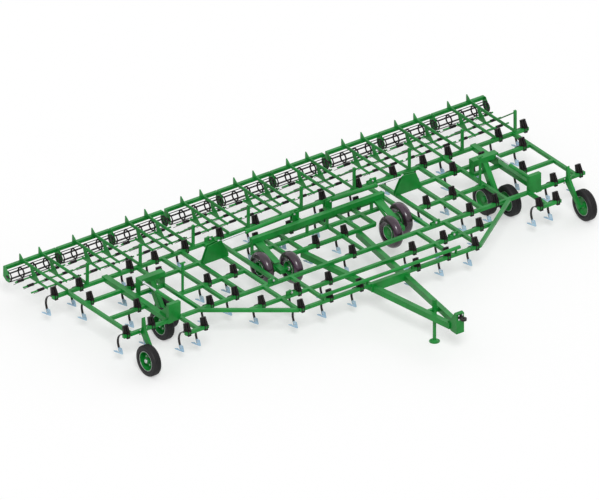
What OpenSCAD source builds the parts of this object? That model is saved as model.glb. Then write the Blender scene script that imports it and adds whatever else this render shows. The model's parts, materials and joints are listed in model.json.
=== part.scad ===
// Wide three-section field cultivator, spread out and standing on its wheels.
// X is across the machine, -Y is the direction of travel, Z is up and 0 is the ground.
// Distances along the machine are given as f, forward of the rear cross bar.

/* [Main frame] */
// Height of the middle of the frame bars above the ground
frame_h = 780; // [760:5:860]
// Width and height of the square frame bars
bar = 70; // [60:2:80]
// Second cross bar, forward of the rear one
row1_f = 590; // [560:5:620]
// Third cross bar, forward of the rear one
row2_f = 1395; // [1370:5:1420]
// Fourth cross bar, forward of the rear one
row3_f = 2160; // [2130:5:2190]
// Fifth cross bar, forward of the rear one
row4_f = 2775; // [2745:5:2800]
// Front cross bar, forward of the rear one
row5_f = 3370; // [3340:5:3420]
// Short cross bar that carries the lift portals
portal_f = 910; // [890:5:930]
// Centre line of the outer side rails
rail_x = 5575; // [5500:10:5650]
// Wing hinge line, from the middle of the machine
hinge_x = 2035; // [2015:5:2055]
// Wing hinge line above the middle of the frame bars
hinge_z = 90; // [80:2:100]
// Length that the rear and fourth cross bars reach past the side rails
bar_overhang = 200; // [180:10:380]

/* [Drawbar] */
// Centre of the hitch eye, forward of the rear cross bar
hitch_f = 5890; // [5700:10:6100]
// Centre of the hitch eye above the middle of the frame bars
hitch_z = 170; // [150:5:190]
// Bore radius of the hitch eye
eye_r = 25; // [20:0.5:28]
// Width of the drawbar arms
arm_w = 110; // [90:5:120]
// Height of the drawbar arms
arm_h = 130; // [100:5:140]
// Half spread of the drawbar arms at their rear ends
arm_spread = 700; // [600:10:760]
// Jack leg, behind the hitch
jack_back = 990; // [890:10:1090]
// Width of the square jack leg
jack_w = 50; // [44:2:60]
// Stroke of the jack
jack_stroke = 300; // [250:10:320]

/* [Wheels] */
// Radius of the wing and gauge tyres
tyre_r = 330; // [320:5:340]
// Width of the wing and gauge tyres
tyre_w = 190; // [170:5:200]
// Radius of the centre tyres
centre_tyre_r = 340; // [330:5:345]
// Width of the centre tyres
centre_tyre_w = 200; // [180:5:205]
// Hubs of the raised centre wheels below the middle of the frame bars
centre_hub_drop = 75; // [60:5:90]
// Radius of the wheel rims
rim_r = 195; // [180:5:210]
// Radius of the centre wheels' rims
centre_rim_r = 140; // [130:5:200]
// Radius of the stub axles
axle_r = 25; // [20:1:30]
// Running clearance of shafts in their bores
run_gap = 0.05; // [0.02:0.01:0.09]

/* [Tines] */
// Spacing of the tines across the machine
tine_pitch = 210; // [205:1:215]
// Width of the spring shanks
shank_w = 45; // [35:1:55]
// Thickness of the spring shanks
shank_t = 16; // [12:1:20]
// Bend radius of the spring shanks
shank_r = 240; // [225:5:255]
// Straight length of a shank behind its cross bar
shank_run = 60; // [50:5:80]
// Width of a sweep over its wing tips
sweep_w = 205; // [190:5:208]
// Height of the coil spring on each tine
coil_h = 140; // [120:5:150]

/* [Harrow and rolling baskets] */
// Width of one harrow section
section_w = 1325; // [1315:1:1328]
// Rear beam, behind the rear cross bar
harrow_f = 1570; // [1540:5:1620]
// Middle of the rolling baskets, behind the rear cross bar
basket_f = 1450; // [1435:5:1465]
// Middle of the rolling baskets below the middle of the frame bars
basket_drop = 155; // [150:5:170]
// Radius of the rolling baskets
basket_r = 120; // [110:2:125]
// Number of bars round a rolling basket
basket_bars = 6; // [5:1:10]
// Harrow bars below the middle of the frame bars
harrow_drop = 190; // [180:5:210]
// Length of the trailing harrow tines
harrow_tine_l = 400; // [360:10:420]
// Height of the section masts
mast_h = 420; // [380:10:460]

/* [Fold cylinders] */
// Radius of the fold cylinder barrels
barrel_r = 45; // [40:1:48]
// Radius of the fold cylinder rods
rod_r = 18; // [14:1:19]
// Pin of the rod's eye, outboard of the wing hinge
ear_x = 265; // [255:5:275]
// Pin of the rod's eye above the wing hinge
ear_z = 310; // [305:1:315]

/* [Hidden] */
$fn = 40;
green = "#1E8C3A";
black = "#26201F";
seat = 0.3;                         // gap between pieces that are bolted together
split = 5;                          // half gap between a wing and the centre frame
eye_ring_r = 65;                    // outside of the hitch eye
tip_f = harrow_f + bar/2;           // rearmost point, behind the rear cross bar
y_mid = (hitch_f + eye_ring_r - tip_f)/2;
jack_f = hitch_f - jack_back;
function fy(f) = y_mid - f;         // forward distance to Y
top_z = frame_h + bar/2;            // top face of the frame bars

// fore-and-aft bars of the centre frame and of a wing, from the middle of the machine
centre_side_x = 1900;
wing_side_x = 2170;
wing_rib_x = [2735, 3215, 3840];
wing_beam_x = 4615;                 // thick beam beside the wing wheels
wing_beam_w = 130;
centre_rib_x = 1095;
inner_rib_x = 715;
strut_x = 1580;
tie_bracket_x = [560, 1660];
row4_end = 3090;                    // wing end of the fifth cross bar
lift_portal_x = [3860, 4490];       // lift portal over the wing wheels
post_h = 660;                       // slim post with a cross head
tower_reach = 1650;                 // half length of the lift tower
front_side_x = 2265;
stay_x = 3900;                      // outer end of the sloping front stay

// tines of each cross bar, counted in pitches from the middle of the machine
centre_tine_rows = [[0, [8.25, 4]], [row1_f, [6, 2]], [row2_f, [1.7]], [row3_f, [0]],
    [row4_f, [8.7, 5]], [row5_f, [7, 3.4]]];
wing_tine_rows = [[0, [28, 25, 19, 16, 12.4]], [row1_f, [25.8, 21, 17.5]], [row2_f, [23, 14.6, 11.5]],
    [row3_f, [27, 24, 17, 14]], [row4_f, [13]], [row5_f, [10.4]], [row3_f + 650, [20, 22]]];
outrigger_f = row3_f + 650;
outrigger_x = [4130, 4700];

// wheels: across, forward
wing_pivot_x = 4166;
wing_pivot_f = 1375;
wing_axle_step = 165;               // each axle ahead of or behind the walking beam's pivot
wing_wheel_step = 180;              // each wheel beside the walking beam
centre_pivot_x = 1493;
centre_pivot_f = 1562;
centre_axle_step = 166;
centre_wheel_step = 245;
gauge_x = 5460;
gauge_f = 2600;
hub_w = 110;

module both() { children(); mirror([1, 0, 0]) children(); }
module side(s) { if (s < 0) mirror([1, 0, 0]) children(); else children(); }

// a square bar across the machine, and one along it
module cross_bar(f, x0, x1, w = bar)
    translate([x0, fy(f) - w/2, frame_h - w/2]) cube([x1 - x0, w, w]);
module long_bar(x, f0, f1, w = bar, h = bar)
    translate([x - w/2, fy(f1), frame_h - h/2]) cube([w, f1 - f0, h]);
// a plate in the fore-and-aft plane, its outline given as [forward, height above the frame]
module side_plate(x, t, outline)
    translate([x - t/2, 0, 0]) rotate([90, 0, 90]) linear_extrude(t)
        polygon([for (p = outline) [fy(p[0]), frame_h + p[1]]]);
// a shaft across the machine
module cross_shaft(x0, x1, f, z, r)
    translate([x0, fy(f), z]) rotate([0, 90, 0]) cylinder(h = x1 - x0, r = r);
// a shaft along the machine
module long_shaft(x, f0, f1, z, r)
    translate([x, fy(f0), z]) rotate([90, 0, 0]) cylinder(h = f1 - f0, r = r);

hinge_f = [0, row3_f, row4_f];
knuckle_r = 32;
hinge_pin_r = 15;
ear_t = 14;
// centre half of a wing hinge: two ears and their pin
module hinge_ears(f) both() {
    for (s = [-1, 1]) translate([0, s*(bar/2 - ear_t/2), 0]) {
        side_x = hinge_x - 110;
        translate([side_x, fy(f) - ear_t/2, top_z - 5]) cube([110, ear_t, hinge_z - bar/2 + 5]);
        translate([hinge_x, fy(f) + ear_t/2, frame_h + hinge_z]) rotate([90, 0, 0])
            cylinder(h = ear_t, r = knuckle_r);
    }
    long_shaft(hinge_x, f - bar/2 - 6, f + bar/2 + 6, frame_h + hinge_z, hinge_pin_r);
}
// wing half of a wing hinge: one tongue with its bore
module hinge_tongue(f) {
    t = bar - 2*ear_t - 8;
    difference() {
        union() {
            translate([hinge_x, fy(f) - t/2, frame_h + hinge_z - knuckle_r]) cube([110, t, 2*knuckle_r]);
            translate([hinge_x + 40, fy(f) - t/2, top_z - 5]) cube([70, t, hinge_z - bar/2 + 5]);
            long_shaft(hinge_x, f - t/2, f + t/2, frame_h + hinge_z, knuckle_r);
        }
        long_shaft(hinge_x, f - t, f + t, frame_h + hinge_z, hinge_pin_r + run_gap);
    }
}

module centre_frame() color(green) {
    end_x = hinge_x - split;
    for (f = [0, row3_f, row4_f, row5_f]) cross_bar(f, -end_x, end_x);
    cross_bar(row1_f, -centre_side_x, centre_side_x);
    cross_bar(row2_f, -centre_rib_x, centre_rib_x);
    cross_bar(portal_f, -tower_reach, tower_reach);
    both() {
        long_bar(centre_side_x, 0, row3_f);
        long_bar(strut_x, row3_f, row5_f);
        long_bar(inner_rib_x, row1_f, row2_f);
        long_bar(centre_rib_x, row1_f, row2_f);
    }
    long_bar(270, row1_f, row3_f, 50);
    for (f = hinge_f) hinge_ears(f);
    // front tie tube on its brackets
    cross_shaft(-1745, 1745, row5_f + 25, top_z + 120, 38);
    both() for (x = tie_bracket_x)
        side_plate(x, 16, [[row5_f + 32, bar/2 - 5], [row5_f - 30, bar/2 - 5],
            [row5_f, bar/2 + 130], [row5_f + 50, bar/2 + 130]]);
}

arm_front_f = hitch_f - 330;
head_f = hitch_f - 112;             // front face of the hitch head
arm_top = frame_h - bar/2 - seat;   // the arms lie under the cross bars
module drawbar_arm() {
    dx = arm_spread - 75;
    df = arm_front_f - row2_f + bar/2;
    translate([arm_spread, fy(row2_f - bar/2), arm_top - arm_h]) rotate([0, 0, -atan2(dx, df)])
        translate([-arm_w/2, -norm([dx, df]), 0]) cube([arm_w, norm([dx, df]), arm_h]);
}
module drawbar() color(green) {
    plate_w = 480;
    both() drawbar_arm();
    // plate between the arms in front of the front cross bar
    translate([-plate_w, fy(row5_f + bar/2 + seat + 20), arm_top - arm_h + 10])
        cube([2*plate_w, 20, arm_h + bar - 10]);
    translate([-plate_w + 60, fy(row5_f + bar/2 + seat + 20), arm_top - arm_h + 10])
        cube([2*plate_w - 120, 120, arm_h - 30]);
    // hitch head
    side_plate(0, 190, [[arm_front_f - 90, -bar/2], [arm_front_f - 90, -arm_h - bar/2 + 5],
        [arm_front_f + 60, -205], [head_f, -205], [head_f, 245],
        [head_f - 70, 265], [arm_front_f + 20, 60]]);
    // cross box that carries the jack
    translate([-200, fy(jack_f - jack_o/2 - seat), arm_top - arm_h + 15]) cube([400, 60, arm_h - 30]);
}

module hitch_eye() color(black) difference() {
    z = frame_h + hitch_z;
    union() {
        translate([0, fy(hitch_f), z - 22]) cylinder(h = 44, r = eye_ring_r);
        translate([-35, fy(hitch_f), z - 22]) cube([70, hitch_f - head_f - 5, 44]);
        translate([-60, fy(head_f + seat + 12), z - 60]) cube([120, 12, 120]);
    }
    translate([0, fy(hitch_f), z - 60]) cylinder(h = 120, r = eye_r);
}

// jack: a square tube on the drawbar and the leg that slides in it
jack_wall = 8;
jack_o = jack_w + 2*jack_wall + 1;  // outside of the jack tube
jack_tube_z = [frame_h - 300, frame_h + 180];
module jack_tube() color(green) {
    o = jack_o;
    difference() {
        translate([-o/2, fy(jack_f) - o/2, jack_tube_z[0]]) cube([o, o, jack_tube_z[1] - jack_tube_z[0]]);
        translate([-o/2 + jack_wall, fy(jack_f) - o/2 + jack_wall, jack_tube_z[0] - 1])
            cube([o - 2*jack_wall, o - 2*jack_wall, jack_tube_z[1] - jack_tube_z[0] - 11]);
    }
}
module jack_leg() color(green) {
    translate([-jack_w/2, fy(jack_f) - jack_w/2, 10]) cube([jack_w, jack_w, jack_tube_z[1] - 360]);
    translate([0, fy(jack_f), 0]) cylinder(h = 14, r = 110);
    translate([0, fy(jack_f), 13]) cylinder(h = 30, r1 = 80, r2 = 45);
}

tower_z = 300;                      // lift tower's cross beam above the middle of the frame bars
tower_w = 110;
cyl_f = row1_f + 115;               // plane of the fold cylinders
anchor_x = 450;                     // anchor pin of a fold cylinder
anchor_z = hinge_z + 360;
pin_r = 16;
ear_gap = 52;                       // between the two ears of a wing
module fold_tower() color(green) {
    reach = tower_reach;
    translate([-reach, fy(portal_f) - tower_w/2, frame_h + tower_z - tower_w/2])
        cube([2*reach, tower_w, tower_w]);
    both() {
        for (x = [250, centre_pivot_x - 130, reach - 20])
            translate([x - 10, fy(portal_f) - tower_w/2 + 10, top_z])
                cube([20, tower_w - 20, tower_z - bar/2 - tower_w/2 + 10]);
        // cheeks on a stub of the beam, and the anchor pin of the fold cylinder
        for (s = [-1, 1]) translate([anchor_x - 120, fy(cyl_f) + s*36 - 8, frame_h + tower_z - 40])
            cube([165, 16, anchor_z - tower_z + 80]);
        translate([anchor_x - 120, fy(portal_f), frame_h + tower_z - 40])
            cube([60, portal_f - cyl_f + 40, 80]);
        long_shaft(anchor_x, cyl_f - 50, cyl_f + 50, frame_h + anchor_z, pin_r);
    }
}

// fold cylinder, drawn along its own axis from the anchor pin and laid in place
eye_dx = hinge_x + ear_x - anchor_x;
eye_dz = anchor_z - hinge_z - ear_z;
cyl_l = norm([eye_dx, eye_dz]);
cyl_a = atan2(eye_dz, eye_dx);
barrel_end = 1190;
rod_start = 790;
module along_cylinder() translate([anchor_x, fy(cyl_f), frame_h + anchor_z]) rotate([0, cyl_a, 0]) children();
module fold_barrel() color(green) along_cylinder() difference() {
    union() {
        translate([0, 27, 0]) rotate([90, 0, 0]) cylinder(h = 54, r = 38);
        translate([20, -27, -27]) cube([60, 54, 54]);
        translate([70, 0, 0]) rotate([0, 90, 0]) cylinder(h = barrel_end - 70, r = barrel_r);
        translate([barrel_end - 60, 0, 0]) rotate([0, 90, 0]) cylinder(h = 60, r = barrel_r + 6);
    }
    rotate([90, 0, 0]) cylinder(h = 200, r = pin_r + run_gap, center = true);
    translate([110, 0, 0]) rotate([0, 90, 0]) cylinder(h = barrel_end, r = rod_r + run_gap);
}
module fold_rod() color("silver") along_cylinder() {
    translate([rod_start, 0, 0]) rotate([0, 90, 0]) cylinder(h = cyl_l - rod_start - 20, r = rod_r);
    translate([cyl_l, 20, 0]) rotate([90, 0, 0]) cylinder(h = 40, r = 40);
}

// wheel leg: two cheeks from the portal to the walking beam, the beam and its stub axles
module wheel_leg(x, pivot_f, hub_z, w, axle_step, wheel_step, wheel_w) {
    drop = frame_h - hub_z;
    top = tower_z - tower_w/2 - seat;
    cheek = 24;
    gap = w - 2*cheek;
    foot = axle_step + 55;
    for (s = [-1, 1]) translate([s*(w/2 - cheek/2), 0, 0]) {
        side_plate(x, cheek, [[portal_f - 80, top], [portal_f + 75, top],
            [pivot_f + 75, -drop + 20], [pivot_f + 45, -drop - 60], [pivot_f - 45, -drop - 60],
            [pivot_f - 80, -drop + 20]]);
    }
    side_plate(x, gap + 2, [[portal_f - 70, top - 10], [portal_f + 60, top - 10],
        [pivot_f + 40, -drop + 130], [pivot_f - 50, -drop + 130]]);
    side_plate(x, gap - 6, [[pivot_f - foot, -drop - 45], [pivot_f - foot, -drop + 45],
        [pivot_f, -drop + 75], [pivot_f + foot, -drop + 45], [pivot_f + foot, -drop - 45]]);
    cross_shaft(x - w/2 - 8, x + w/2 + 8, pivot_f, hub_z, 32);
    cross_shaft(x - wheel_step - hub_w/2 - 6, x, pivot_f - axle_step, hub_z, axle_r);
    cross_shaft(x, x + wheel_step + hub_w/2 + 6, pivot_f + axle_step, hub_z, axle_r);
}
module centre_wheel_legs() color(green) {
    // the front wheel of each pair is the inner one
    both() translate([centre_pivot_x, 0, 0]) mirror([1, 0, 0])
        wheel_leg(0, centre_pivot_f, frame_h - centre_hub_drop, 190, centre_axle_step, centre_wheel_step,
            centre_tyre_w);
}

// tyre and rim, turned about the axle
module tyre(r, w, rim_r) color(black) rotate([0, 90, 0]) rotate_extrude($fn = 64) {
    s = rim_r + 12 + seat;
    polygon([[s, -w*0.36], [s, w*0.36], [r - 62, w/2], [r - 30, w*0.49], [r - 9, w*0.38], [r, w*0.18],
        [r, -w*0.18], [r - 9, -w*0.38], [r - 30, -w*0.49], [r - 62, -w/2]]);
}
module rim(w, rim_r) color(green) rotate([0, 90, 0]) rotate_extrude($fn = 64)
    polygon([[axle_r + run_gap, -hub_w/2], [60, -hub_w/2], [66, -18], [rim_r - 40, -30], [rim_r - 8, -w*0.3],
        [rim_r - 8, -w*0.4], [rim_r + 12, -w*0.4], [rim_r + 12, w*0.4], [rim_r - 2, w*0.4],
        [rim_r - 2, -w*0.22], [rim_r - 36, -12], [66, 0], [60, hub_w/2], [axle_r + run_gap, hub_w/2]]);
module at_wheel(s, x, f, r) translate([s*x, fy(f), r]) side(s) children();

module wheel_place(kind, s) {
    if (kind == "gauge") at_wheel(s, gauge_x, gauge_f, tyre_r) children();
    if (kind == "inner" || kind == "outer") {
        k = kind == "outer" ? 1 : -1;
        at_wheel(s, wing_pivot_x + k*wing_wheel_step, wing_pivot_f + k*wing_axle_step, tyre_r) children();
    }
    if (kind == "c_inner" || kind == "c_outer") {
        k = kind == "c_outer" ? 1 : -1;
        at_wheel(s, centre_pivot_x + k*centre_wheel_step, centre_pivot_f - k*centre_axle_step,
            frame_h - centre_hub_drop) children();
    }
}

// one tine's black parts: clamp, coil spring and C-shank
lean = 20;
spring_y = 22;                      // coil spring behind the middle of its bar
module coil_spring(h, r, wire, turns) {
    p = h/turns;
    rotate_extrude($fn = 24) polygon(concat([[0, 0]],
        [for (i = [0:turns - 1]) each [[r - wire/2, i*p], [r, i*p + p*0.3], [r, i*p + p*0.55],
            [r - wire/2, i*p + p*0.85]]],
        [[r - wire/2, h], [0, h]]));
}
clamp_w = 84;                       // a tine's clamp plate in front of the springs
base_w = 156;                       // and under them
shank_z = -bar/2 - shank_t;         // underside of the shank below the bar's middle
arc_a = 112;
leg_l = 140;
// the shank's outline: straight under the bar, bent round and down; [behind the bar's middle, above it]
shank_c = [bar/2 + shank_run, -bar/2 - shank_r];
function shank_arc(r) = [for (i = [0:12]) let (a = 90 - i*arc_a/12) shank_c + r*[cos(a), sin(a)]];
shank_dir = [-sin(arc_a - 90), -cos(arc_a - 90)];
shank_outline = concat([[-bar/2 - 13, shank_z], [-bar/2 - 13, -bar/2]], shank_arc(shank_r),
    [shank_arc(shank_r)[12] + leg_l*shank_dir, shank_arc(shank_r - shank_t)[12] + leg_l*shank_dir],
    [for (i = [12:-1:0]) shank_arc(shank_r - shank_t)[i]]);
module tine_black() {
    // base plate on the bar, two straps down its front and the plate under it
    translate([-clamp_w/2, -bar/2 - 14, bar/2]) cube([clamp_w, bar/2 + 20, 12]);
    translate([-base_w/2, 5, bar/2]) cube([base_w, bar/2 + 31, 12]);
    for (s = [-1, 1]) side(s) translate([clamp_w/2 - 20, -bar/2 - 14, shank_z - 12])
        cube([14, 14 - seat, bar + shank_t + 13]);
    translate([-clamp_w/2 + 4, -bar/2 - 14, shank_z - 12]) cube([clamp_w - 8, bar, 12]);
    // pair of leaning coil springs between a tapered bracket and its cap
    translate([0, spring_y, bar/2 + 12]) rotate([-lean, 0, 0]) {
        for (x = [-27, 27]) translate([x, 0, -4]) coil_spring(coil_h + 8, 24, 12, 6);
        translate([0, 44, 4]) rotate([90, 0, 0]) linear_extrude(12)
            polygon([[-base_w/2 + 3, 0], [base_w/2 - 3, 0], [54, coil_h + 10], [-54, coil_h + 10]]);
        // tapered cheeks beside the springs
        for (s = [-1, 1]) side(s) translate([0, 43, 4]) rotate([90, 0, 0]) linear_extrude(52)
            polygon([[base_w/2 - 14, 0], [base_w/2 - 4, 0], [55, coil_h + 9], [49, coil_h + 9]]);
        translate([-52, -26, coil_h]) cube([104, 70, 14]);
    }
    translate([-62, spring_y - 27, bar/2 + 11]) cube([124, 30, 14]);
    translate([-shank_w/2, 0, 0]) rotate([90, 0, 90]) linear_extrude(shank_w) polygon(shank_outline);
}
// one sweep, set on the front of the shank's lower end
module sweep() {
    translate([0, bar/2 + shank_run, shank_z + shank_t - shank_r]) rotate([-(arc_a - 90), 0, 0])
        translate([0, shank_r - shank_t, -leg_l]) {
            translate([-26, -9 - seat, -22]) cube([52, 9, 110]);
            translate([0, -9 - seat, -18]) rotate([arc_a - 90 + 10, 0, 0]) linear_extrude(9)
                polygon([[0, -78], [18, -66], [sweep_w/2, 92], [sweep_w/2 - 12, 116], [34, 78], [34, 14],
                    [-34, 14], [-34, 78], [-sweep_w/2 + 12, 116], [-sweep_w/2, 92], [-18, -66]]);
        }
}
module at_tines(rows, both_sides) for (row = rows) for (k = row[1])
    for (s = both_sides && k > 0 ? [-1, 1] : [1])
        translate([s*k*tine_pitch, fy(row[0]), frame_h]) children();
module centre_tines() color(black) at_tines(centre_tine_rows, true) tine_black();
module centre_sweeps() color("lightsteelblue") at_tines(centre_tine_rows, true) sweep();

// harrow section: arms, rear beam, end plates, hangers, three harrow bars and a mast
arm_x = 240;
link_l = 700*mast_h/420;            // length of a mast's sloping link
harrow_bar_f = [1230, 960, 690];
harrow_bar_r = 17.5;
section_end = section_w/2 - 10;
plate_t = 12;
module harrow_frame(xc, hand) translate([xc, 0, 0]) {
    z0 = frame_h;
    arm_t = 22;
    for (s = [-1, 1]) {
        // long arm with its pointed tip
        side_plate(s*arm_x, arm_t, [[bar/2, bar/2], [bar/2, bar/2 + 65], [-harrow_f + 90, bar/2 + 65],
            [-harrow_f - bar/2 + 12, bar/2 + 150], [-harrow_f - bar/2, bar/2 + 150],
            [-harrow_f - bar/2, bar/2]]);
        // hanger down to the harrow bars
        side_plate(s*arm_x, plate_t, [[-harrow_bar_f[0] - 45, -harrow_drop - 28],
            [-harrow_bar_f[0] - 45, -harrow_drop + 28],
            [-harrow_bar_f[0] + 60, -harrow_drop + 32], [-harrow_bar_f[0] - 20, bar/2 + 10],
            [-harrow_bar_f[0] + 60, bar/2 + 10], [-harrow_bar_f[1] + 30, -harrow_drop + 32],
            [-harrow_bar_f[2] + 40, -harrow_drop + 28], [-harrow_bar_f[2] + 40, -harrow_drop - 28]]);
        // end plate that carries the basket
        difference() {
            translate([s*(section_end - plate_t/2), 0, 0]) side_plate(0, plate_t,
                [[-harrow_f - bar/2, bar/2], [-harrow_f + bar/2 + 30, bar/2],
                [-basket_f + 65, -basket_drop + 20], [-basket_f + 50, -basket_drop - 110],
                [-basket_f - 50, -basket_drop - 110], [-harrow_f - bar/2, -basket_drop - 40]]);
            cross_shaft(s*section_end - 50, s*section_end + 50, -basket_f, z0 - basket_drop, 16 + run_gap);
        }
    }
    cross_bar(-harrow_f, -section_end, section_end);
    for (f = harrow_bar_f)
        cross_shaft(-section_end + 30, section_end - 30, -f, z0 - harrow_drop, harrow_bar_r);
    // mast beside one arm and the sloping adjuster that holds the section down
    side(hand) {
        translate([arm_x + arm_t/2 - 1, fy(25), top_z]) cube([50, 50, mast_h + 60]);
        translate([arm_x + arm_t/2 + 24, fy(0), top_z + mast_h + 20]) rotate([-126, 0, 0])
            cylinder(h = link_l, r = 14);
        cross_shaft(arm_x, arm_x + arm_t/2 + 44, -link_l*sin(54), top_z + mast_h + 20 - link_l*cos(54), 17);
    }
}
module harrow_frames(xs, hand) color(green) for (x = xs) harrow_frame(x, hand);

coil_half = 80;
module harrow_tine() {
    // coil round the bar and its trailing tine
    rotate([0, 90, 0]) rotate_extrude($fn = 24) polygon(concat(
        [for (i = [0:7]) let (x = i*20 - coil_half) each [[26, x], [31, x + 5], [31, x + 11], [26, x + 17]]],
        [[26, coil_half], [harrow_bar_r + seat, coil_half], [harrow_bar_r + seat, -coil_half]]));
    translate([-coil_half + 8, 0, -24]) rotate([-126, 0, 0]) cylinder(h = harrow_tine_l, r = 6, $fn = 16);
}
module harrow_tines(xs) color(black) for (x = xs) for (j = [0:2]) for (i = [-1:1])
    translate([x + i*section_w/3 + (1 - j)*55, fy(-harrow_bar_f[j]), frame_h - harrow_drop]) harrow_tine();

// rolling basket
ring_t = 10;
basket_l = section_w - 2*(10 + plate_t + 8);
// outline of one window in a basket's end disc, between its hub and its rim
function basket_window() = concat([for (a = [-46:23:46]) 34*[cos(a), sin(a)]],
    [for (a = [54:-18:-54]) (basket_r - 34)*[cos(a), sin(a)]]);
module basket(x) color(black) translate([x, fy(-basket_f), frame_h - basket_drop]) {
    for (i = [0:4]) translate([-basket_l/2 + i*(basket_l - ring_t)/4, 0, 0]) rotate([0, 90, 0]) difference() {
        cylinder(h = ring_t, r = basket_r - 4);
        if (i > 0 && i < 4) translate([0, 0, -1]) cylinder(h = ring_t + 2, r = basket_r - 34);
        else for (k = [0:2]) rotate([0, 0, k*120]) translate([0, 0, -1]) linear_extrude(ring_t + 2)
            polygon(basket_window());
    }
    for (k = [0:basket_bars - 1]) rotate([(k + 0.5)*360/basket_bars, 0, 0])
        translate([-basket_l/2 + 3, 0, basket_r - 9]) rotate([0, 90, 0]) cylinder(h = basket_l - 6, r = 9);
    for (s = [-1, 1]) side(s) translate([basket_l/2 - 1, 0, 0])
        rotate([0, 90, 0]) cylinder(h = plate_t + 9, r = 16);
}

section_gap = 57.5;                 // between the centre's harrow sections and a wing's
section_x = [for (i = [0:2]) section_w*(2 + i) + section_gap];

// right wing; the left one is its mirror image
module wing_frame() color(green) {
    inner = hinge_x + split;
    cross_bar(0, inner, rail_x + bar_overhang + 180);
    cross_bar(row1_f, wing_side_x, rail_x);
    cross_bar(row2_f, wing_side_x, wing_rib_x[2]);
    cross_bar(row2_f, wing_beam_x, rail_x);
    cross_bar(row3_f, inner, rail_x + bar_overhang);
    cross_bar(row4_f, inner, row4_end);
    cross_bar(row5_f, inner, front_side_x);
    cross_bar(portal_f, wing_rib_x[2], wing_beam_x);
    cross_bar(outrigger_f, outrigger_x[0], outrigger_x[1]);
    for (x = concat([wing_side_x], wing_rib_x, [rail_x])) long_bar(x, 0, row3_f);
    long_bar(wing_beam_x, -60, row3_f + 40, wing_beam_w, 105);
    long_bar(wing_side_x + 95, row3_f, row5_f);
    long_bar(outrigger_x[0] + 240, row3_f, outrigger_f);
    // sloping front stay
    dx = stay_x - front_side_x;
    df = row5_f - row3_f;
    translate([stay_x, fy(row3_f), frame_h - bar/2 + 1]) rotate([0, 0, 180 + atan2(df, dx)])
        translate([0, -bar/2, 0]) cube([norm([dx, df]), bar, bar - 2]);
    for (f = hinge_f) hinge_tongue(f);
    // ears on either side of the fold cylinder's rod
    for (s = [-1, 1]) translate([0, fy(cyl_f) + s*(ear_gap/2 + 7), frame_h]) {
        translate([0, 7, 0]) rotate([90, 0, 0]) linear_extrude(14)
            polygon([[hinge_x + 60, bar/2 - 10], [wing_rib_x[0], bar/2 - 10], [wing_rib_x[0], bar/2 + 40],
                [hinge_x + ear_x + 300, hinge_z + ear_z + 5], [hinge_x + ear_x + 40, hinge_z + ear_z + 40],
                [hinge_x + ear_x - 40, hinge_z + ear_z + 40], [hinge_x + ear_x - 55, hinge_z + ear_z - 20],
                [hinge_x + 60, bar/2 + 60]]);
        translate([hinge_x + ear_x, s*7, hinge_z + ear_z]) rotate([-s*90, 0, 0]) cylinder(h = 16, r = 30);
    }
    // lift portal over the wing wheels
    for (x = [lift_portal_x[0], lift_portal_x[1] - 20]) translate([x, fy(portal_f) - 70, top_z - 5])
        cube([20, 140, tower_z - bar/2 - 40]);
    translate([lift_portal_x[0], fy(portal_f) - 75, frame_h + tower_z - tower_w/2])
        cube([lift_portal_x[1] - lift_portal_x[0], 150, tower_w]);
    // upright at the front of the thick beam, and the barrel of the wheels' lift cylinder
    translate([lift_x - 60, fy(row3_f + 40), top_z - 5]) cube([wing_beam_x - lift_x + 110, 90, lift_z + 45]);
    side_plate(wing_beam_x, 24, [[row3_f - 330, 50], [row3_f - 45, 50], [row3_f - 45, lift_z + 30]]);
    long_shaft(lift_x, lift_front_f - lift_barrel, lift_front_f + 5, frame_h + lift_z, 42);
    // slim post with its cross head
    translate([wing_rib_x[2] - 135, fy(row2_f) - 20, top_z - 5]) cube([40, 40, post_h]);
    translate([wing_rib_x[2] - 175, fy(row2_f) - 20, top_z + post_h - 20]) cube([120, 40, 24]);
}
lift_x = 4425;                      // lift cylinder of the wing wheels
lift_z = 300;
lift_front_f = row3_f - 50;
lift_barrel = 640;
module lift_rod() color("silver") {
    long_shaft(lift_x, portal_f + 75 + seat, lift_front_f - lift_barrel - seat, frame_h + lift_z, 22);
    long_shaft(lift_x, portal_f + 75 + seat, portal_f + 75 + 46, frame_h + lift_z, 34);
}
gauge_arm_x = gauge_x - 145;
gauge_post_z = [300, 330];          // top of the gauge wheel's arm, at its rear and front edges
gauge_plate_w = 180;
module wheel_carriers() color(green) {
    wheel_leg(wing_pivot_x, wing_pivot_f, tyre_r, 120, wing_axle_step, wing_wheel_step, tyre_w);
    // gauge wheel arm, bolted to the front of the fourth cross bar
    drop = frame_h - tyre_r;
    side_plate(gauge_arm_x, 60, [[row3_f + bar/2 + seat, 20], [row3_f + bar/2 + seat, gauge_post_z[0]],
        [row3_f + 75, gauge_post_z[1]],
        [row3_f + 130, 60], [gauge_f + 45, -drop], [gauge_f + 20, -drop - 45], [gauge_f - 30, -drop - 40],
        [gauge_f - 60, -drop + 30], [row3_f + bar/2 + seat, -90]]);
    translate([gauge_arm_x - gauge_plate_w/2, fy(row3_f + bar/2 + seat + 14), frame_h - 60])
        cube([gauge_plate_w, 14, 130]);
    cross_shaft(gauge_arm_x, gauge_x + hub_w/2 + 6, gauge_f, tyre_r, axle_r);
}
module wing_tines() color(black) at_tines(wing_tine_rows, false) tine_black();
module wing_sweeps() color("lightsteelblue") at_tines(wing_tine_rows, false) sweep();

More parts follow.
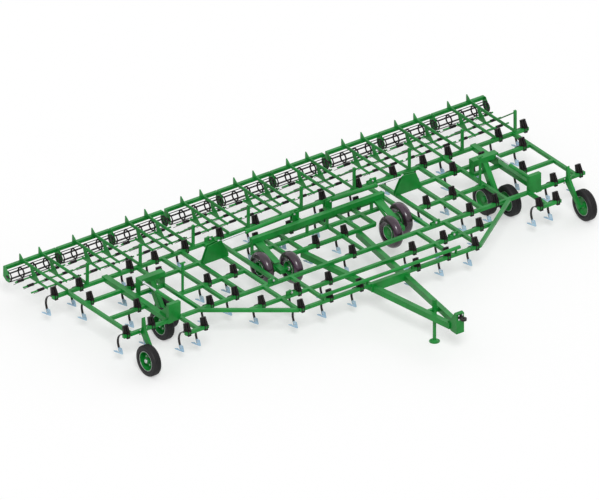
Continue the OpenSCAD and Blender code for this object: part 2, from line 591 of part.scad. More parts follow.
centre_frame();
drawbar();
hitch_eye();
jack_tube();
jack_leg();
fold_tower();
side(-1) fold_barrel();  // left_fold_barrel
side(-1) fold_rod();  // left_fold_rod
fold_barrel();  // right_fold_barrel
fold_rod();  // right_fold_rod
centre_wheel_legs();
centre_tines();
centre_sweeps();
harrow_frames([-section_w, 0, section_w], 1);  // centre_harrow_frames
harrow_tines([-section_w, 0, section_w]);  // centre_harrow_tines
for (i = [1:3]) {
    basket((i - 2)*section_w);
    side(-1) basket(section_x[i - 1]);
    basket(section_x[i - 1]);
}
for (i = [1:4]) {
    kind = i < 3 ? (i == 1 ? "c_outer" : "c_inner") : (i == 3 ? "c_inner" : "c_outer");
    s = i < 3 ? -1 : 1;
    wheel_place(kind, s) tyre(centre_tyre_r, centre_tyre_w, centre_rim_r);
    wheel_place(kind, s) rim(centre_tyre_w, centre_rim_r);
}
for (s = [-1, 1]) {
    wing = s < 0 ? "left" : "right";
    side(s) wing_frame();
    side(s) wheel_carriers();
    side(s) lift_rod();
    side(s) wing_tines();
    side(s) wing_sweeps();
    side(s) harrow_frames(section_x, s);
    side(s) harrow_tines(section_x);
    for (kind = ["inner", "outer", "gauge"]) {
        wheel_place(kind, s) tyre(tyre_r, tyre_w, rim_r);
        wheel_place(kind, s) rim(tyre_w, rim_r);
    }
}
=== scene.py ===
import json
import math

import bmesh
import bpy
from mathutils import Matrix, Vector

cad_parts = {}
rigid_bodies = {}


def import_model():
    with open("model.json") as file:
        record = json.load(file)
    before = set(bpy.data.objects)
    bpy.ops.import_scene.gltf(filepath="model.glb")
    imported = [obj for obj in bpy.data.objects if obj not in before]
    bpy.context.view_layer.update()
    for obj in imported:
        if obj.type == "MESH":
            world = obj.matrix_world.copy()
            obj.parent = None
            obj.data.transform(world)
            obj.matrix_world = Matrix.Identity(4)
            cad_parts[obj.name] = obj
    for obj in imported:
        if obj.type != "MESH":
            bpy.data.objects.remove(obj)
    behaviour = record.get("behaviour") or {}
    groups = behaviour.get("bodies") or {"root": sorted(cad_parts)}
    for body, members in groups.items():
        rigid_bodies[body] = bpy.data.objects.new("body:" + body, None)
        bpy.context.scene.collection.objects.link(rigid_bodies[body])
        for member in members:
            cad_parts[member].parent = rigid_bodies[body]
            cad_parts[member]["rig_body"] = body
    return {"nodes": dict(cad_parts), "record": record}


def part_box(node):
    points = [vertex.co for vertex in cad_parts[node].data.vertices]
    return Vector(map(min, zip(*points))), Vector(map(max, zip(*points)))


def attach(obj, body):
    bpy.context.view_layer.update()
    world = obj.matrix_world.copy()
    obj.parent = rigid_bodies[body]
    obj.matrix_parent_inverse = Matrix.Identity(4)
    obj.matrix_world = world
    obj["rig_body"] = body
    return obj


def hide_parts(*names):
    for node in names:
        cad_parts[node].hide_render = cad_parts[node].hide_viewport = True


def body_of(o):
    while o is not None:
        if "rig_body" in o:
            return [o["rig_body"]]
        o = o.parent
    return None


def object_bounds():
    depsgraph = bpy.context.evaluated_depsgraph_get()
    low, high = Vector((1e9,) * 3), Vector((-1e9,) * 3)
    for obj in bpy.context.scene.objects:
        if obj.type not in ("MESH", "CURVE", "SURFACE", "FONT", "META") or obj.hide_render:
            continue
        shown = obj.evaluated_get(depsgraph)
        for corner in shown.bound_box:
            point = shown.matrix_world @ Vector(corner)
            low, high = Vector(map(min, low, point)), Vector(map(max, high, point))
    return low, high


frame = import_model()
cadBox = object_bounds()
nodes = frame["nodes"]
print("frame loaded:", len(nodes), "nodes")


# ---- materials ----

def toLinear(hexColour):
    out = []
    for i in (0, 2, 4):
        c = int(hexColour[i:i + 2], 16) / 255
        out.append(c / 12.92 if c <= 0.04045 else ((c + 0.055) / 1.055) ** 2.4)
    return (*out, 1.0)


def addNode(mat, kind, settings=None, inputs=None, links=None):
    node = mat.node_tree.nodes.new(kind)
    for key, value in (settings or {}).items():
        setattr(node, key, value)
    for key, value in (inputs or {}).items():
        node.inputs[key].default_value = value
    for key, source in (links or {}).items():
        mat.node_tree.links.new(source, node.inputs[key])
    return node


def startMaterial(name):
    mat = bpy.data.materials.new(name)
    mat.use_nodes = True
    mat.node_tree.nodes.clear()
    return mat


# dustAndTopLightFrom: how far a surface must face up before it takes the paler green, which is part dust and
# part painted top light
patternShape = {"patchDetail": 3.0, "patchRough": 0.6, "grainDetail": 2.0, "toneStops": (0.34, 0.66),
                "dustAndTopLightFrom": 0.2, "bumpStrength": 0.5}


def makeFinish(name, hexes, metallic, rough, patchMm, grainMm, bumpMm, dustAndTopLight=None, fixed=None):
    # two tones drift over patchMm, the surface ripples every grainMm, and what faces up turns paler: part
    # dust, part painted top light
    mat = startMaterial(name)
    coords = addNode(mat, "ShaderNodeTexCoord").outputs["Object"]
    patch = addNode(mat, "ShaderNodeTexNoise",
                    inputs={"Scale": 1000 / patchMm, "Detail": patternShape["patchDetail"],
                            "Roughness": patternShape["patchRough"]},
                    links={"Vector": coords})
    grain = addNode(mat, "ShaderNodeTexNoise",
                    inputs={"Scale": 1000 / grainMm, "Detail": patternShape["grainDetail"]},
                    links={"Vector": coords})
    ramp = addNode(mat, "ShaderNodeValToRGB", links={"Fac": patch.outputs["Fac"]})
    for stop, position, colour in zip(ramp.color_ramp.elements, patternShape["toneStops"], hexes):
        stop.position, stop.color = position, toLinear(colour)
    colour = ramp.outputs["Color"]
    # surfaces that face up mix in a paler green: part dust, part painted light falling on the tops
    if dustAndTopLight:
        normal = addNode(mat, "ShaderNodeNewGeometry").outputs["Normal"]
        up = addNode(mat, "ShaderNodeSeparateXYZ", links={"Vector": normal}).outputs["Z"]
        level = addNode(mat, "ShaderNodeMapRange",
                        inputs={"From Min": patternShape["dustAndTopLightFrom"], "From Max": 1.0, "To Max": dustAndTopLight[1]},
                        links={"Value": up})
        dustAndTopLightMix = addNode(mat, "ShaderNodeMath", {"operation": "MULTIPLY"},
                        links={0: level.outputs[0], 1: patch.outputs["Fac"]})
        colour = addNode(mat, "ShaderNodeMixRGB", inputs={"Color2": toLinear(dustAndTopLight[0])},
                         links={"Fac": dustAndTopLightMix.outputs[0], "Color1": colour}).outputs["Color"]
    roughness = addNode(mat, "ShaderNodeMapRange", inputs={"To Min": rough[0], "To Max": rough[1]},
                        links={"Value": patch.outputs["Fac"]})
    bump = addNode(mat, "ShaderNodeBump",
                   inputs={"Strength": patternShape["bumpStrength"], "Distance": bumpMm / 1000},
                   links={"Height": grain.outputs["Fac"]})
    shader = addNode(mat, "ShaderNodeBsdfPrincipled", inputs={"Metallic": metallic, **(fixed or {})},
                     links={"Base Color": colour, "Roughness": roughness.outputs[0],
                            "Normal": bump.outputs["Normal"]})
    addNode(mat, "ShaderNodeOutputMaterial", links={"Surface": shader.outputs[0]})
    return mat


finishes = {
    # sprayed gloss enamel: deep even green with a faint orange peel, paler on top from dust and painted top
    # light
    "frame": makeFinish("gloss_enamel_on_welded_steel", ("0B7326", "168A35"), 0.0, (0.3, 0.42),
                        400, 9, 0.1, dustAndTopLight=("52AC6B", 0.22), fixed={"Specular IOR Level": 0.3}),
    # dipped lacquer on spring steel: brown-black, satin
    "spring": makeFinish("black_lacquered_spring_steel", ("0D090A", "1A1314"), 0.0, (0.36, 0.5), 300, 4, 0.08,
                         fixed={"Specular IOR Level": 0.3}),
    # primed share steel: pale matt blue
    "sweep": makeFinish("pale_blue_primed_boron_steel", ("93B4CF", "B3CFE2"), 0.0, (0.4, 0.55), 250, 5, 0.06,
                        fixed={"Specular IOR Level": 0.35}),
    # painted roller bars: black, slightly duller where they rub the soil
    "roller": makeFinish("black_painted_roller_steel", ("090708", "130F10"), 0.0, (0.42, 0.56), 300, 5, 0.1,
                         fixed={"Specular IOR Level": 0.25}),
    # ground and chromed rod: mirror bright
    "rod": makeFinish("hard_chromed_rod", ("C9CDD0", "DDE0E2"), 1.0, (0.12, 0.18), 200, 3, 0.01),
    # zinc-plated fasteners: soft grey sparkle
    "zinc": makeFinish("zinc_plated_fastener_steel", ("A9ADAC", "C4C8C6"), 1.0, (0.3, 0.42), 60, 3, 0.02),
    # moulded tyre rubber: matt black
    "tyre": makeFinish("vulcanised_tyre_rubber", ("0D0D0F", "171618"), 0.0, (0.5, 0.66), 300, 6, 0.12,
                       fixed={"Specular IOR Level": 0.35}),
    # fresh glossy rubber: brown-purple black with soft highlights
    "balloon": makeFinish("glossy_moulded_rubber", ("1B1516", "3A1F36"), 0.0, (0.2, 0.32), 320, 7, 0.06,
                          fixed={"Coat Weight": 0.4, "Coat Roughness": 0.12}),
}


def finishOf(name):
    if "tyre" in name:
        return finishes["balloon" if name.startswith("centre") else "tyre"]
    if name.endswith("_sweeps"):
        return finishes["sweep"]
    if name.endswith("_harrow_tines") or "_basket_" in name:
        return finishes["roller"]
    if name.endswith("_tines") or name == "hitch_eye":
        return finishes["spring"]
    if name.endswith("_rod"):
        return finishes["rod"]
    return finishes["frame"]


for name, part in nodes.items():
    part.data.materials.clear()
    part.data.materials.append(finishOf(name))
print("finishes set:", len(finishes))


# ---- modelling helpers ----

def clearSelection():
    if bpy.context.mode != "OBJECT":
        bpy.ops.object.mode_set(mode="OBJECT")
    bpy.ops.object.select_all(action="DESELECT")


def startPiece(kind, turn=(0, 0, 0), **shape):
    clearSelection()
    getattr(bpy.ops.mesh, f"primitive_{kind}_add")(rotation=turn, **shape)
    piece = bpy.context.object
    bpy.ops.object.transform_apply(location=True, rotation=True, scale=True)
    return piece


def pick(piece, mode, test):
    # select what passes the test, by its place or its normal
    bpy.context.view_layer.objects.active = piece
    if bpy.context.mode != "EDIT_MESH":
        bpy.ops.object.mode_set(mode="EDIT")
    bpy.ops.mesh.select_mode(type=mode)
    bpy.ops.mesh.select_all(action="DESELECT")
    mesh = bmesh.from_edit_mesh(piece.data)
    found = [item for item in {"FACE": mesh.faces, "EDGE": mesh.edges}[mode] if test(item)]
    for item in found:
        item.select_set(True)
    bmesh.update_edit_mesh(piece.data)
    return len(found)


samePoint = 1e-6     # closer than this is one point
squareOn = 0.99      # a face whose normal has this much along an axis lies square to it
edgeOn = 0.1         # and one with less than this stands edge on
ontoX = (0, math.pi / 2, 0)     # lays a piece's round axis along X


def closePiece(piece, smoothAngle=35):
    # one shell with its faces outwards, smooth up to the angle in degrees
    bpy.context.view_layer.objects.active = piece
    if bpy.context.mode != "EDIT_MESH":
        bpy.ops.object.mode_set(mode="EDIT")
    bpy.ops.mesh.select_all(action="SELECT")
    bpy.ops.mesh.remove_doubles(threshold=samePoint)
    bpy.ops.mesh.normals_make_consistent(inside=False)
    clearSelection()
    piece.select_set(True)
    bpy.context.view_layer.objects.active = piece
    bpy.ops.object.shade_smooth_by_angle(angle=math.radians(smoothAngle))
    return piece


def joinPieces(parts):
    clearSelection()
    for part in parts:
        part.select_set(True)
    bpy.context.view_layer.objects.active = parts[0]
    if len(parts) > 1:
        bpy.ops.object.join()
    return parts[0]


def copyTo(master, matrix):
    piece = bpy.data.objects.new(master.name, master.data.copy())
    bpy.context.scene.collection.objects.link(piece)
    piece.data.transform(matrix)
    return piece


def dropMaster(*masters):
    for master in masters:
        bpy.data.objects.remove(master)


def facing(point, towards):
    # puts a piece's seat at the point, with its +Z side looking the given way
    return Matrix.Translation(Vector(point)) @ Vector(towards).to_track_quat("Z", "Y").to_matrix().to_4x4()


def fitOut(piece, name, body, finish):
    piece.name = name
    piece.data.name = name
    piece.data.materials.clear()
    piece.data.materials.append(finishes[finish])
    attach(piece, body)


def looseBoxes(name):
    # lowest and highest corner of each separate solid in a node
    mesh = bmesh.new()
    mesh.from_mesh(nodes[name].data)
    bmesh.ops.remove_doubles(mesh, verts=mesh.verts, dist=samePoint)
    seen, boxes = set(), []
    for start in mesh.verts:
        if start in seen:
            continue
        stack, points = [start], []
        seen.add(start)
        while stack:
            vert = stack.pop()
            points.append(vert.co.copy())
            for edge in vert.link_edges:
                other = edge.other_vert(vert)
                if other not in seen:
                    seen.add(other)
                    stack.append(other)
        boxes.append([Vector([end(p[i] for p in points) for i in range(3)]) for end in (min, max)])
    mesh.free()
    return boxes


def middleOf(*names):
    # midway between the corners of some nodes' boxes
    return sum((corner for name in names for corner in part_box(name)), Vector()) / (2 * len(names))


# cross bars: how far under the hinges, and how far forward of the rear one those with a hinge lie
barShape = {"underHinge": 0.090, "hingeSteps": (0.0, 2.160, 2.775)}
joints = {joint["name"]: joint for joint in frame["record"]["behaviour"]["joints"]}
hingeAt = Vector(joints["right_fold"]["pos_m"])
frameZ = hingeAt.z - barShape["underHinge"]     # middle of the frame bars
frameY = hingeAt.y                              # middle of the rear cross bar

# ---- tyres ----

tyreShapes = {
    "wing": {"around": 72, "shoulder": 0.045, "steps": 4, "bandAt": 0.35, "bandWidth": 0.014,
             "bandRise": 0.004, "beadPinch": 0.72, "grooves": (-0.034, 0.0, 0.034), "grooveWidth": 0.010,
             "grooveDepth": 0.009, "treadSlack": 0.002, "notchDepth": 0.004, "notchReach": 0.012,
             "notchLean": 0.75, "notchEdge": 0.002},
    "centre": {"around": 72, "shoulder": 0.085, "steps": 7, "bandAt": 0.35, "bandWidth": 0.014,
               "bandRise": 0.003, "beadPinch": 0.72, "grooves": (-0.012, 0.012), "grooveWidth": 0.005,
               "grooveDepth": 0.003, "treadSlack": 0.002, "notchDepth": 0.0},
}


def radiusOf(place):
    return math.hypot(place.y, place.z)


def makeTyre(shape, radius, width, bead):
    tyre = startPiece("cylinder", turn=ontoX, vertices=shape["around"], radius=radius, depth=width)
    # round the shoulders
    pick(tyre, "EDGE", lambda e: abs(e.verts[0].co.x - e.verts[1].co.x) < samePoint
         and len(e.link_faces) == 2)
    bpy.ops.mesh.bevel(offset=shape["shoulder"], segments=shape["steps"], profile=0.5, affect="EDGES")
    # sidewalls down to the bead, with a raised band
    pick(tyre, "FACE", lambda f: abs(f.normal.x) > squareOn)
    bpy.ops.mesh.inset(thickness=(radius - shape["shoulder"] - bead) * shape["bandAt"])
    bpy.ops.mesh.inset(thickness=shape["bandWidth"], depth=shape["bandRise"])
    rest = bmesh.from_edit_mesh(tyre.data)
    inner = min(max(radiusOf(v.co) for v in f.verts) for f in rest.faces if f.select)
    bpy.ops.mesh.inset(thickness=inner - bead, depth=-shape["bandRise"])
    bpy.ops.transform.resize(value=(shape["beadPinch"], 1, 1), center_override=(0, 0, 0))
    bpy.ops.mesh.delete(type="FACE")
    pick(tyre, "EDGE", lambda e: e.is_boundary)
    bpy.ops.mesh.bridge_edge_loops()
    # grooves round the tread
    half = shape["grooveWidth"] / 2
    for groove in shape["grooves"]:
        for side in (-half, half):
            bpy.ops.mesh.select_all(action="SELECT")
            bpy.ops.mesh.bisect(plane_co=(groove + side, 0, 0), plane_no=(1, 0, 0))
    tread = radius * math.cos(math.pi / shape["around"]) - shape["treadSlack"]
    pick(tyre, "FACE", lambda f: radiusOf(f.calc_center_median()) > tread
         and any(abs(f.calc_center_median().x - g) < half for g in shape["grooves"]))
    bpy.ops.mesh.extrude_region_shrink_fatten(TRANSFORM_OT_shrink_fatten={"value": -shape["grooveDepth"]})
    if shape["notchDepth"]:
        # notches between the shoulder's blocks, every other step round
        def notch(f):
            place = f.calc_center_median()
            turn = math.atan2(place.z, place.y) / (2 * math.pi) % 1 * shape["around"]
            return (tread - shape["notchReach"] < radiusOf(place) <= tread and int(turn) % 2 == 0
                    and abs(f.normal.x) < shape["notchLean"])
        pick(tyre, "FACE", notch)
        bpy.ops.mesh.inset(thickness=shape["notchEdge"], use_individual=True)
        bpy.ops.mesh.extrude_region_shrink_fatten(TRANSFORM_OT_shrink_fatten={"value": -shape["notchDepth"]})
    return closePiece(tyre, 32)


for kind, shape in tyreShapes.items():
    names = [n for n in nodes if "_tyre_" in n and n.startswith("centre") == (kind == "centre")]
    low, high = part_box(names[0])
    rimLow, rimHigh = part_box(names[0].replace("tyre", "rim"))
    rimPlay = 0.0003     # the bead stands this clear of the rim
    master = makeTyre(shape, (high.z - low.z) / 2, high.x - low.x, (rimHigh.z - rimLow.z) / 2 + rimPlay)
    for name in names:
        tyre = copyTo(master, Matrix.Translation(middleOf(name)))
        fitOut(tyre, name + "_moulded", body_of(nodes[name])[0],
               "balloon" if kind == "centre" else "tyre")
        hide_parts(name)
    dropMaster(master)
print("tyres made")

# ---- bolts, hub caps and rim flanges ----

boltShape = {"across": 0.024, "height": 0.013, "chamfer": 0.002, "washer": 0.021, "washerThick": 0.0035,
             "washerSides": 16, "washerEdge": 0.0008}


def makeBolt(shape):
    # hexagon head on its washer, seated at zero and looking up
    top = shape["washerThick"] + shape["height"]
    head = startPiece("cylinder", vertices=6, radius=shape["across"] / 2 / math.cos(math.pi / 6),
                      depth=shape["height"], location=(0, 0, shape["washerThick"] + shape["height"] / 2))
    pick(head, "FACE", lambda f: f.normal.z > squareOn)
    bpy.ops.mesh.inset(thickness=shape["chamfer"])
    pick(head, "EDGE", lambda e: all(abs(v.co.z - top) < samePoint for v in e.verts)
         and all(math.hypot(v.co.x, v.co.y) > shape["across"] / 2 for v in e.verts))
    bpy.ops.transform.translate(value=(0, 0, -shape["chamfer"]))
    clearSelection()
    washer = startPiece("cylinder", vertices=shape["washerSides"], radius=shape["washer"],
                        depth=shape["washerThick"], location=(0, 0, shape["washerThick"] / 2))
    pick(washer, "FACE", lambda f: f.normal.z > squareOn)
    bpy.ops.mesh.bevel(offset=shape["washerEdge"], segments=1, affect="EDGES")
    clearSelection()
    return closePiece(joinPieces([head, washer]), 25)


boltMaster = makeBolt(boltShape)


def boltSet(name, spots, body, finish):
    # one piece of many bolts: each spot is its seat, the way it looks and its size
    copies = [copyTo(boltMaster, facing(seat, towards) @ Matrix.Scale(size, 4))
              for seat, towards, size in spots]
    fitOut(joinPieces(copies), name, body, finish)


def bothEnds(middle, axis, half, size):
    # a pin's two ends: a bolt looking out from each, half its length from the middle
    return [(Vector(middle) + end * half * Vector(axis), end * Vector(axis), size) for end in (-1, 1)]


rimDress = {"hubEnd": 0.055, "capRadius": 0.046, "capDepth": 0.030, "capEdge": 0.012, "bolts": 5,
            "around": 72, "flangeAt": 0.4, "flangeRoll": 0.001, "valveRadius": 0.005, "valveLong": 0.045,
            "valveOut": 0.005, "valveIn": 0.030, "valveStep": 0.0015, "valveTip": 0.006}
rimShapes = {
    "wing": {**rimDress, "boltCircle": 0.098, "seat": -0.0045, "flange": 0.0055},
    "centre": {**rimDress, "boltCircle": 0.084, "seat": -0.0055, "flange": 0.0045},
}


def makeRimDress(shape, rimRadius, halfWidth):
    # looks along +X: cap over the axle end, wheel bolts, rolled flanges and the valve
    cap = startPiece("cylinder", turn=ontoX, vertices=32, radius=shape["capRadius"],
                     depth=shape["capDepth"], location=(shape["hubEnd"] + shape["capDepth"] / 2, 0, 0))
    pick(cap, "FACE", lambda f: f.normal.x > squareOn)
    bpy.ops.mesh.bevel(offset=shape["capEdge"], segments=4, affect="EDGES")
    parts = [closePiece(cap)]
    for k in range(shape["bolts"]):
        turn = 2 * math.pi * k / shape["bolts"]
        seat = (shape["seat"], shape["boltCircle"] * math.cos(turn), shape["boltCircle"] * math.sin(turn))
        parts.append(copyTo(boltMaster, facing(seat, (1, 0, 0))))
    for x in (-halfWidth, halfWidth):
        flange = startPiece("torus", turn=ontoX, location=(x, 0, 0), minor_radius=shape["flange"],
                            major_radius=rimRadius - shape["flangeRoll"],
                            major_segments=shape["around"], minor_segments=8)
        pick(flange, "FACE", lambda f: abs(f.calc_center_median().x) > halfWidth + shape["flange"] / 2)
        bpy.ops.transform.translate(value=(math.copysign(shape["flangeRoll"], x), 0, 0))
        parts.append(closePiece(flange))
    valve = startPiece("cylinder", turn=ontoX, vertices=12, radius=shape["valveRadius"],
                       depth=shape["valveLong"],
                       location=(shape["valveOut"], 0, rimRadius - shape["valveIn"]))
    pick(valve, "FACE", lambda f: f.normal.x > squareOn)
    bpy.ops.mesh.inset(thickness=shape["valveStep"])
    bpy.ops.transform.translate(value=(shape["valveTip"], 0, 0))
    parts.append(closePiece(valve))
    return joinPieces(parts)


for kind, shape in rimShapes.items():
    names = [n for n in nodes if "_rim_" in n and n.startswith("centre") == (kind == "centre")]
    low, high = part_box(names[0])
    tyreLow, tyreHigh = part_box(names[0].replace("rim", "tyre"))
    master = makeRimDress(shape, (high.z - low.z) / 2, (tyreHigh.x - tyreLow.x) * shape["flangeAt"])
    for name in names:
        middle = middleOf(name.replace("rim", "tyre"))
        matrix = Matrix.Translation(middle) @ Matrix.Rotation(0 if middle.x > 0 else math.pi, 4, "Z")
        dress = copyTo(master, matrix)
        fitOut(dress, name + "_hub_and_bolts", body_of(nodes[name])[0], "zinc")
    dropMaster(master)
print("rims dressed")

# ---- bolts of the tines and sweeps ----

# the tine's clamp plate and its leaning springs, from the middle of its bar
tineShape = {"plateFront": 0.049, "plateTop": 0.047, "plateStep": 0.029, "plateBack": 0.030,
             "plateBolt": 0.8, "lean": math.radians(20), "springBack": 0.022, "capTop": 0.154,
             "springStep": 0.027, "capBolt": 0.5}
# the sweep's seat plate hangs from the end of the shank's bend
sweepShape = {"bendBack": 0.095, "bendDown": 0.275, "tilt": math.radians(22), "face": 0.2147, "leg": 0.140,
              "boltHeights": (0.020, 0.066), "bolt": 0.62}
bodyOfSide = {"centre": "root", "left": "left_wing", "right": "right_wing"}

up = Vector((0, math.sin(tineShape["lean"]), math.cos(tineShape["lean"])))
ahead = Vector((0, -math.cos(sweepShape["tilt"]), math.sin(sweepShape["tilt"])))
along = Vector((0, math.sin(sweepShape["tilt"]), math.cos(sweepShape["tilt"])))
for side, body in bodyOfSide.items():
    tineSpots, sweepSpots = [], []
    for low, high in looseBoxes(side + "_tines"):
        x, barY = (low.x + high.x) / 2, low.y + tineShape["plateFront"]
        for step in (-tineShape["plateStep"], tineShape["plateStep"]):
            seat = (x + step, barY - tineShape["plateBack"], frameZ + tineShape["plateTop"])
            tineSpots.append((seat, (0, 0, 1), tineShape["plateBolt"]))
        foot = Vector((x, barY + tineShape["springBack"], frameZ + tineShape["plateTop"]))
        for step in (-tineShape["springStep"], tineShape["springStep"]):
            seat = foot + up * tineShape["capTop"] + Vector((step, 0, 0))
            tineSpots.append((seat, up, tineShape["capBolt"]))
        bend = Vector((x, barY + sweepShape["bendBack"], frameZ - sweepShape["bendDown"]))
        for rise in sweepShape["boltHeights"]:
            seat = bend - ahead * sweepShape["face"] + along * (rise - sweepShape["leg"])
            sweepSpots.append((seat, ahead, sweepShape["bolt"]))
    boltSet(side + "_tine_bolts", tineSpots, body, "spring")
    boltSet(side + "_sweep_bolts", sweepSpots, body, "zinc")
    print(side, "side:", len(sweepSpots) // len(sweepShape["boltHeights"]), "tines bolted")

# ---- pins, bracket bolts and bearings ----

# half lengths and bolt sizes of the hinge pins, the fold cylinders' anchors and the walking beams' pivots
pinShape = {"hinge": (0.041, 1.25), "anchor": (0.050, 1.2), "centreBeam": (0.103, 1.9),
            "wingBeam": (0.068, 1.9), "anchorX": 0.450, "anchorZ": 1.230, "anchorAhead": 0.705}
hitchShape = {"plateBack": 0.012, "boltStep": 0.044}
gaugeShape = {"bracketIn": 0.145, "faceAhead": 0.0493, "boltSteps": (-0.070, 0.070),
              "boltRises": (-0.035, 0.045)}

spots = []
for sign in (-1, 1):
    for step in barShape["hingeSteps"]:
        spots += bothEnds((sign * hingeAt.x, frameY - step, hingeAt.z), (0, 1, 0), *pinShape["hinge"])
    anchor = (sign * pinShape["anchorX"], frameY - pinShape["anchorAhead"], pinShape["anchorZ"])
    spots += bothEnds(anchor, (0, 1, 0), *pinShape["anchor"])
pivot = middleOf("centre_rim_3", "centre_rim_4")
for low, high in looseBoxes("centre_wheel_legs"):
    beam = (math.copysign(pivot.x, low.x + high.x), pivot.y, pivot.z)
    spots += bothEnds(beam, (1, 0, 0), *pinShape["centreBeam"])
boltSet("centre_pin_ends", spots, "root", "zinc")

eye, eyeBack = middleOf("hitch_eye"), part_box("hitch_eye")[1].y - hitchShape["plateBack"]
steps = (-hitchShape["boltStep"], hitchShape["boltStep"])
boltSet("hitch_bolts", [((x, eyeBack, eye.z + z), (0, -1, 0), 1.0) for x in steps for z in steps],
        "root", "zinc")

for side, sign in (("left", -1), ("right", 1)):
    spots = bothEnds(middleOf(side + "_rim_inner", side + "_rim_outer"), (1, 0, 0), *pinShape["wingBeam"])
    bracketX = middleOf(side + "_rim_gauge").x - sign * gaugeShape["bracketIn"]
    bracketY = frameY - barShape["hingeSteps"][1] - gaugeShape["faceAhead"]
    spots += [((bracketX + step, bracketY, frameZ + rise), (0, -1, 0), 1.0)
              for step in gaugeShape["boltSteps"] for rise in gaugeShape["boltRises"]]
    boltSet(side + "_pin_ends", spots, side + "_wing", "zinc")

bearingShape = {"radius": 0.036, "depth": 0.007, "around": 28, "ears": 0.052, "earFrom": 0.9,
                "rimStep": 0.008, "rimRise": 0.003, "boltStep": 0.041, "bolt": 0.45}


def makeBearing(shape):
    # two-bolt flange, looks along +Z
    flange = startPiece("cylinder", vertices=shape["around"], radius=shape["radius"], depth=shape["depth"],
                        location=(0, 0, shape["depth"] / 2))
    pick(flange, "FACE", lambda f: abs(f.normal.z) < edgeOn
         and abs(f.calc_center_median().x) > shape["radius"] * shape["earFrom"])
    bpy.ops.mesh.extrude_faces_move(TRANSFORM_OT_shrink_fatten={"value": shape["ears"] - shape["radius"]})
    pick(flange, "FACE", lambda f: f.normal.z > squareOn and len(f.verts) == shape["around"])
    bpy.ops.mesh.inset(thickness=shape["rimStep"])
    bpy.ops.transform.translate(value=(0, 0, shape["rimRise"]))
    parts = [closePiece(flange)]
    parts += [copyTo(boltMaster, Matrix.Translation((x, 0, shape["depth"])) @ Matrix.Scale(shape["bolt"], 4))
              for x in (-shape["boltStep"], shape["boltStep"])]
    return joinPieces(parts)


bearing = makeBearing(bearingShape)
for side, body in bodyOfSide.items():
    copies = []
    for number in (1, 2, 3):
        low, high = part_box(f"{side}_basket_{number}")
        middle = (low + high) / 2
        for x, way in ((low.x, -1), (high.x, 1)):
            copies.append(copyTo(bearing, facing((x, middle.y, middle.z), (way, 0, 0))))
    fitOut(joinPieces(copies), side + "_basket_bearings", body, "spring")
dropMaster(bearing, boltMaster)
print("pins and bearings fitted")

# ---- bands inside the baskets' rings, and the clips that hold their bars ----

basketShape = {"stub": 0.020, "rings": 3, "ringThick": 0.010, "bars": 6, "barRing": 0.111,
               "bandRadius": 0.1015, "bandThick": 0.008, "bandWide": 0.032, "around": 48,
               "clipLong": 0.040, "clipRadius": 0.012, "clipEdge": 0.003}


def makeBand(shape):
    # open flat-bar hoop about the X axis
    band = startPiece("cylinder", turn=ontoX, vertices=shape["around"], radius=shape["bandRadius"],
                      depth=shape["bandWide"])
    pick(band, "FACE", lambda f: abs(f.normal.x) > squareOn)
    bpy.ops.mesh.inset(thickness=shape["bandThick"])
    bpy.ops.mesh.bridge_edge_loops()
    return closePiece(band)


def makeClip(shape):
    # short sleeve round a bar, with rounded ends
    clip = startPiece("cylinder", turn=ontoX, vertices=14, radius=shape["clipRadius"],
                      depth=shape["clipLong"])
    pick(clip, "FACE", lambda f: abs(f.normal.x) > squareOn)
    bpy.ops.mesh.bevel(offset=shape["clipEdge"], segments=2, affect="EDGES")
    return closePiece(clip)


band, clip = makeBand(basketShape), makeClip(basketShape)
for name in [n for n in nodes if "_basket_" in n]:
    low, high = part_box(name)
    middle = (low + high) / 2
    drum = high.x - low.x - 2 * basketShape["stub"]      # length between the stub shafts
    gap = (drum - basketShape["ringThick"]) / (basketShape["rings"] + 1)
    parts = []
    for ring in range(basketShape["rings"]):
        x = (ring - (basketShape["rings"] - 1) / 2) * gap
        parts.append(copyTo(band, Matrix.Translation(middle + Vector((x, 0, 0)))))
        for bar in range(basketShape["bars"]):
            turn = 2 * math.pi * (bar + 0.5) / basketShape["bars"]
            spot = Vector((0, -math.sin(turn), math.cos(turn))) * basketShape["barRing"]
            parts.append(copyTo(clip, Matrix.Translation(middle + Vector((x, 0, 0)) + spot)))
    fitOut(joinPieces(parts), name + "_ring_bands", body_of(nodes[name])[0], "roller")
dropMaster(band, clip)
print("baskets banded")

# ---- floor, light and camera ----

# to the camera and in reflections the floor is almost white; the object is lit by a plain pale one
stageShape = {"floorSize": 160, "under": 0.001, "plain": 0.9, "pale": 0.62, "glow": 0.4, "sky": 0.55,
              "white": 1.0}


def seenDirectly(mat):
    path = addNode(mat, "ShaderNodeLightPath")
    return addNode(mat, "ShaderNodeMath", {"operation": "MAXIMUM"},
                   links={0: path.outputs["Is Camera Ray"], 1: path.outputs["Is Glossy Ray"]}).outputs[0]


def grey(level):
    return (level, level, level, 1)


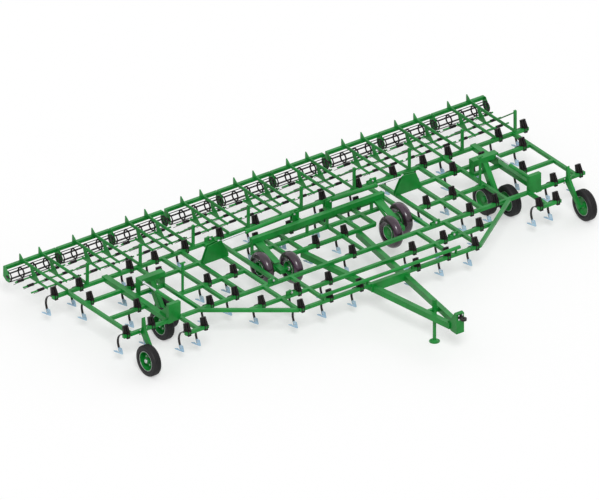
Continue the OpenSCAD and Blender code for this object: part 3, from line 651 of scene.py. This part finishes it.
low, high = cadBox
middle = (low + high) / 2
clearSelection()
bpy.ops.mesh.primitive_plane_add(size=stageShape["floorSize"],
                                 location=(middle.x, middle.y, low.z - stageShape["under"]))
floor = bpy.context.object
floor.name = "floor"
floorMat = startMaterial("matt_white_floor")
plain = addNode(floorMat, "ShaderNodeBsdfDiffuse", inputs={"Color": grey(stageShape["plain"])})
pale = addNode(floorMat, "ShaderNodeBsdfDiffuse", inputs={"Color": grey(stageShape["pale"])})
glow = addNode(floorMat, "ShaderNodeEmission", inputs={"Color": grey(1), "Strength": stageShape["glow"]})
glowing = addNode(floorMat, "ShaderNodeAddShader", links={0: pale.outputs[0], 1: glow.outputs[0]})
mixed = addNode(floorMat, "ShaderNodeMixShader",
                links={0: seenDirectly(floorMat), 1: plain.outputs[0], 2: glowing.outputs[0]})
addNode(floorMat, "ShaderNodeOutputMaterial", links={"Surface": mixed.outputs[0]})
floor.data.materials.append(floorMat)

world = bpy.data.worlds.new("studio")
bpy.context.scene.world = world
world.use_nodes = True
world.node_tree.nodes.clear()
soft = addNode(world, "ShaderNodeBackground", inputs={"Color": grey(1), "Strength": stageShape["sky"]})
white = addNode(world, "ShaderNodeBackground", inputs={"Color": grey(1), "Strength": stageShape["white"]})
mixed = addNode(world, "ShaderNodeMixShader",
                links={0: seenDirectly(world), 1: soft.outputs[0], 2: white.outputs[0]})
addNode(world, "ShaderNodeOutputWorld", links={"Surface": mixed.outputs[0]})

# each lamp: the way it stands, its strength and how wide its light is, in degrees
lampSettings = {"key": ((-0.5, -0.8, 0.9), 1.6, 18), "fill": ((0.9, 0.2, 0.7), 0.35, 60)}
for name, (towards, strength, angle) in lampSettings.items():
    lamp = bpy.data.lights.new(name, "SUN")
    lamp.energy = strength
    lamp.angle = math.radians(angle)
    lampObject = bpy.data.objects.new(name, lamp)
    bpy.context.scene.collection.objects.link(lampObject)
    lampObject.rotation_euler = Vector(towards).to_track_quat("Z", "Y").to_euler()

cameraSettings = {"azimuth": -36.4, "elevation": 28.9, "aim": (-0.769, 0.818, 0.78), "width": 12.077,
                  "away": 40, "reach": 200}
camera = bpy.data.cameras.new("camera")
camera.type = "ORTHO"
camera.ortho_scale = cameraSettings["width"]
camera.clip_end = cameraSettings["reach"]
cameraObject = bpy.data.objects.new("camera", camera)
bpy.context.scene.collection.objects.link(cameraObject)
turn, rise = math.radians(cameraSettings["azimuth"]), math.radians(cameraSettings["elevation"])
back = Vector((math.sin(turn) * math.cos(rise), -math.cos(turn) * math.cos(rise), math.sin(rise)))
cameraObject.location = Vector(cameraSettings["aim"]) + back * cameraSettings["away"]
cameraObject.rotation_euler = back.to_track_quat("Z", "Y").to_euler()
bpy.context.scene.camera = cameraObject
bpy.context.scene.view_settings.view_transform = "Standard"
print("stage ready")
